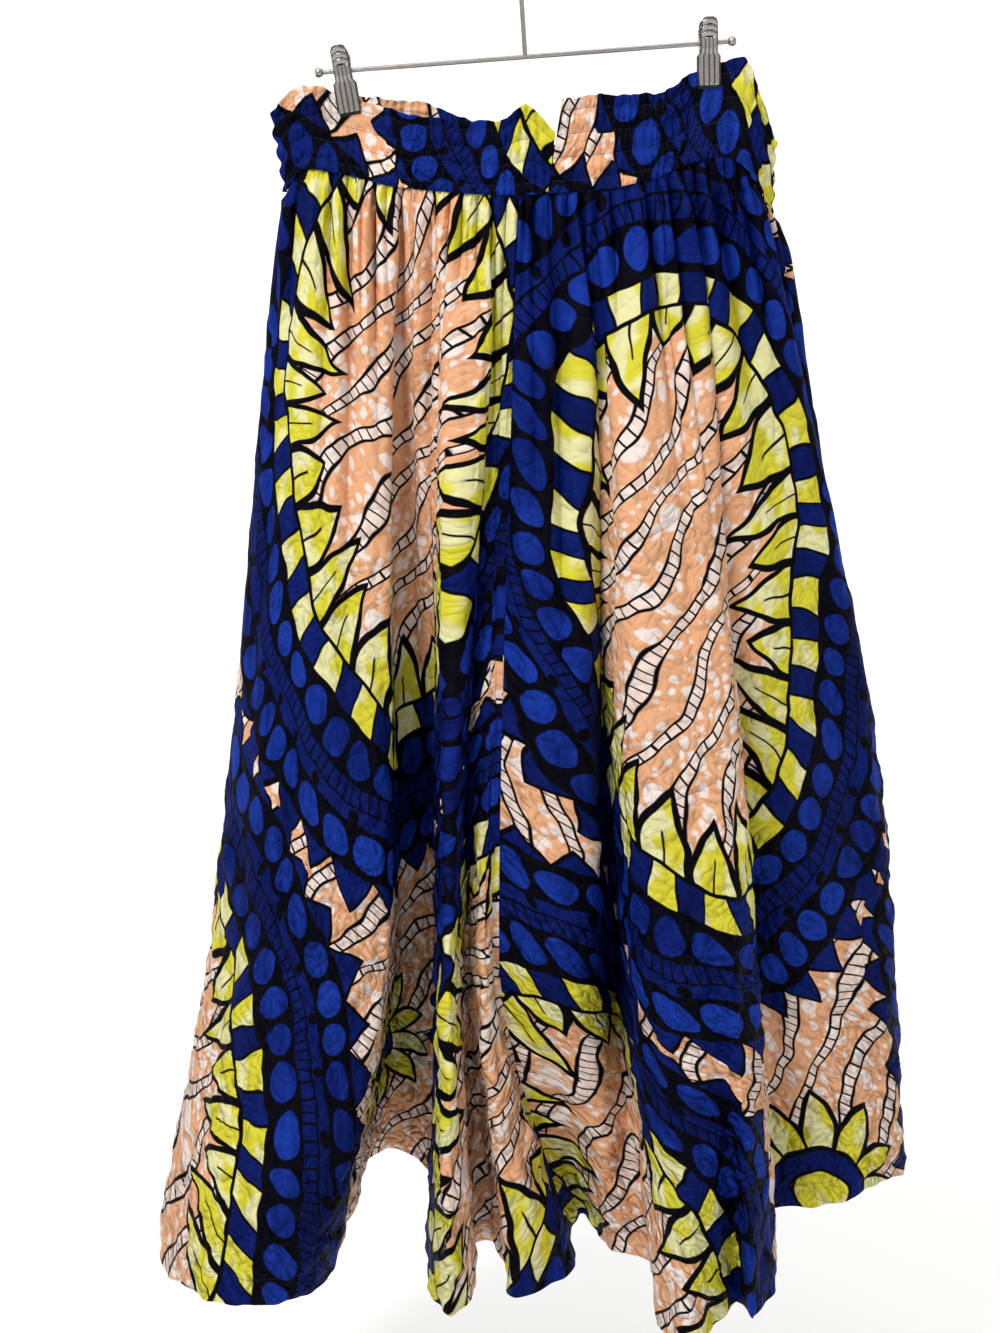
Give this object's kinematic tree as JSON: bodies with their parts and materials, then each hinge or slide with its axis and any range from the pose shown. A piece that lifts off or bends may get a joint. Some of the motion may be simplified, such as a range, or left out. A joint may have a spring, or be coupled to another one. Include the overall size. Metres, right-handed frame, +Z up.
{
  "type": "wax print maxi skirt on a clip hanger",
  "caption": "Full-length gathered skirt of patterned cotton with a shirred waistband, hung open at the hem from the clips of a wire hanger.",
  "frame": {"origin": "the seat inside the hanger's hook, where it rests on a rail", "axes": "+Z up, +X to the right of the skirt's front, +Y from the skirt's front to its back"},
  "size_m": [0.7128, 0.4556, 1.15],
  "materials": {
    "waistband": "wax print cotton, royal blue ground, shirred on elastic",
    "panel_left": "printed cotton, plain weave, crisp with a soft sheen; royal blue, orange, lime yellow and black print",
    "panel_right": "printed cotton, plain weave, crisp with a soft sheen; royal blue, orange, lime yellow and black print",
    "steel": "bright plated steel wire and pressed plate"
  },
  "bodies": {
    "root": {"hanger": "steel", "clip_left_front_jaw": "steel", "clip_left_back_jaw": "steel", "clip_left_spring": "steel", "clip_right_front_jaw": "steel", "clip_right_back_jaw": "steel", "clip_right_spring": "steel", "waistband": "waistband", "panel_left": "panel_left", "panel_right": "panel_right"}
  },
  "joints": []
}
